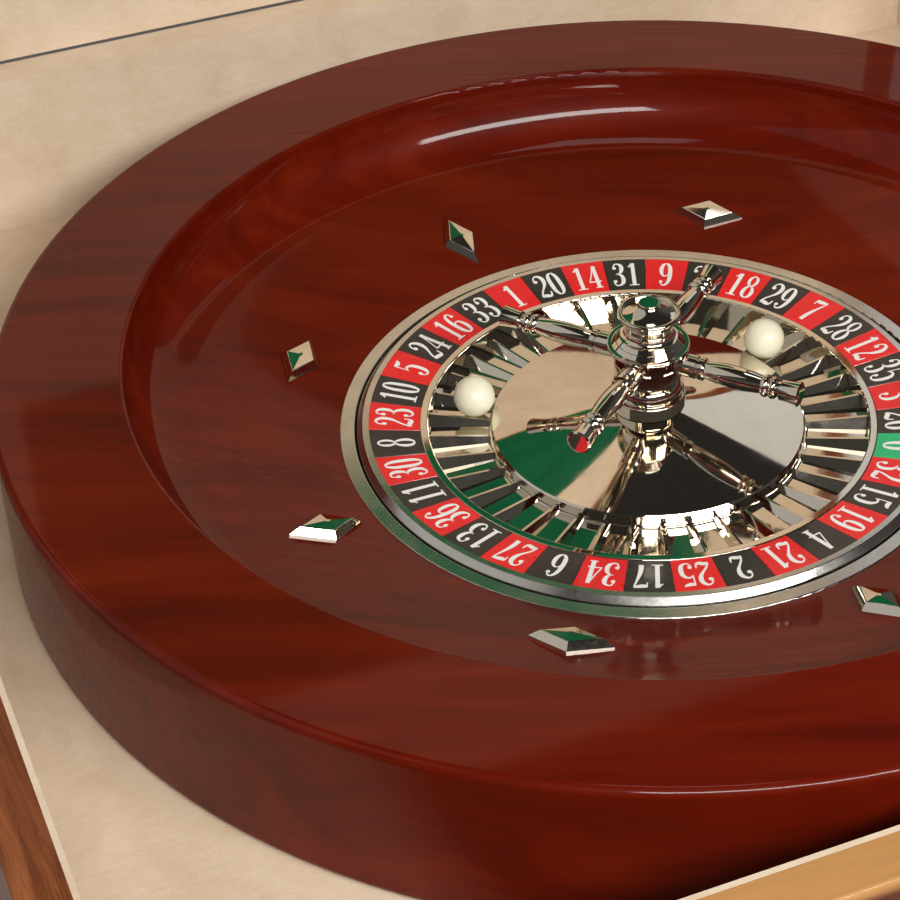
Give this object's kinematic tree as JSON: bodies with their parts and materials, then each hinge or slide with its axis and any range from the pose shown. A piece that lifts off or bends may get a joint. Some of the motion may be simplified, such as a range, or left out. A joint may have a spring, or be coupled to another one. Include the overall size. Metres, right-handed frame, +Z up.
{
  "type": "casino game chest",
  "caption": "Square lidded wooden box lined with suede, holding a roulette wheel with a spinning rotor, turret and pocket ring, its lid standing open on butt hinges.",
  "frame": {"origin": "middle of the flat underside, on the wheel's axis", "axes": "+X to the right, +Y to the hinges at the back, +Z up along the wheel's axis"},
  "size_m": [0.586, 0.6636, 0.6753],
  "materials": {
    "walnut": "satin",
    "board": "matte",
    "mahogany": "gloss",
    "suede": "matte",
    "felt": "matte",
    "baize": "matte",
    "chrome": "polished",
    "steel": "satin",
    "aluminium": "satin",
    "brass": "satin",
    "enamel": "gloss",
    "ivory_resin": "gloss"
  },
  "bodies": {
    "chest": {"base_felt": "felt", "base_panel": "board", "floor_lining": "suede", "front_board": "walnut", "back_board": "walnut", "left_board": "walnut", "right_board": "walnut", "front_lining": "suede", "back_lining": "suede", "left_lining": "suede", "right_lining": "suede", "rear_ledge_lining": "suede", "wheel_base": "mahogany", "wheel_rim": "mahogany", "ball_track": "mahogany", "apron": "mahogany", "stator_ring": "chrome", "tangential_diamonds": "chrome", "radial_diamonds": "chrome", "spindle": "steel", "spindle_flange": "steel", "flange_screws": "steel", "hinge_box_leaves": "brass", "hinge_pins": "steel", "hinge_box_screws": "steel"},
    "lid": {"lid_front_rail": "walnut", "lid_back_rail": "walnut", "lid_left_rail": "walnut", "lid_right_rail": "walnut", "lid_panel": "walnut", "lid_backer": "board", "lid_lining": "suede", "layout_panel": "baize", "layout_trim": "brass", "hinge_lid_leaves": "brass", "hinge_lid_screws": "steel"},
    "rotor": {"rotor_plate": "aluminium", "rotor_lip": "chrome", "number_ring": "enamel", "inner_lip": "chrome", "pocket_ring": "chrome", "frets": "chrome", "cone": "chrome", "rotor_hub": "steel", "hub_screws": "steel", "bearing_lower": "steel", "bearing_upper": "steel", "turret_base": "chrome", "turret_hub": "chrome", "turret_saucer": "chrome", "turret_neck": "chrome", "turret_cap": "chrome", "turret_button": "chrome", "turret_rod": "steel", "arm_1": "chrome", "arm_2": "chrome", "arm_3": "chrome", "arm_4": "chrome"},
    "ball_1": {"ball_1": "ivory_resin"},
    "ball_2": {"ball_2": "ivory_resin"}
  },
  "joints": [
    {"name": "lid_hinge", "type": "hinge", "parent": "chest", "child": "lid", "pos_m": [0, 0.2935, 0.0912], "axis": [1, 0, 0], "range_deg": [0, 95]},
    {"name": "rotor_spin", "type": "hinge", "parent": "chest", "child": "rotor", "pos_m": [0, 0, 0.03], "axis": [0, 0, 1], "continuous": true},
    {"name": "ball_1_lift", "type": "slide", "parent": "rotor", "child": "ball_1", "axis": [0, 0, 1], "range_m": [0, 0.03]},
    {"name": "ball_2_lift", "type": "slide", "parent": "rotor", "child": "ball_2", "axis": [0, 0, 1], "range_m": [0, 0.03]}
  ]
}
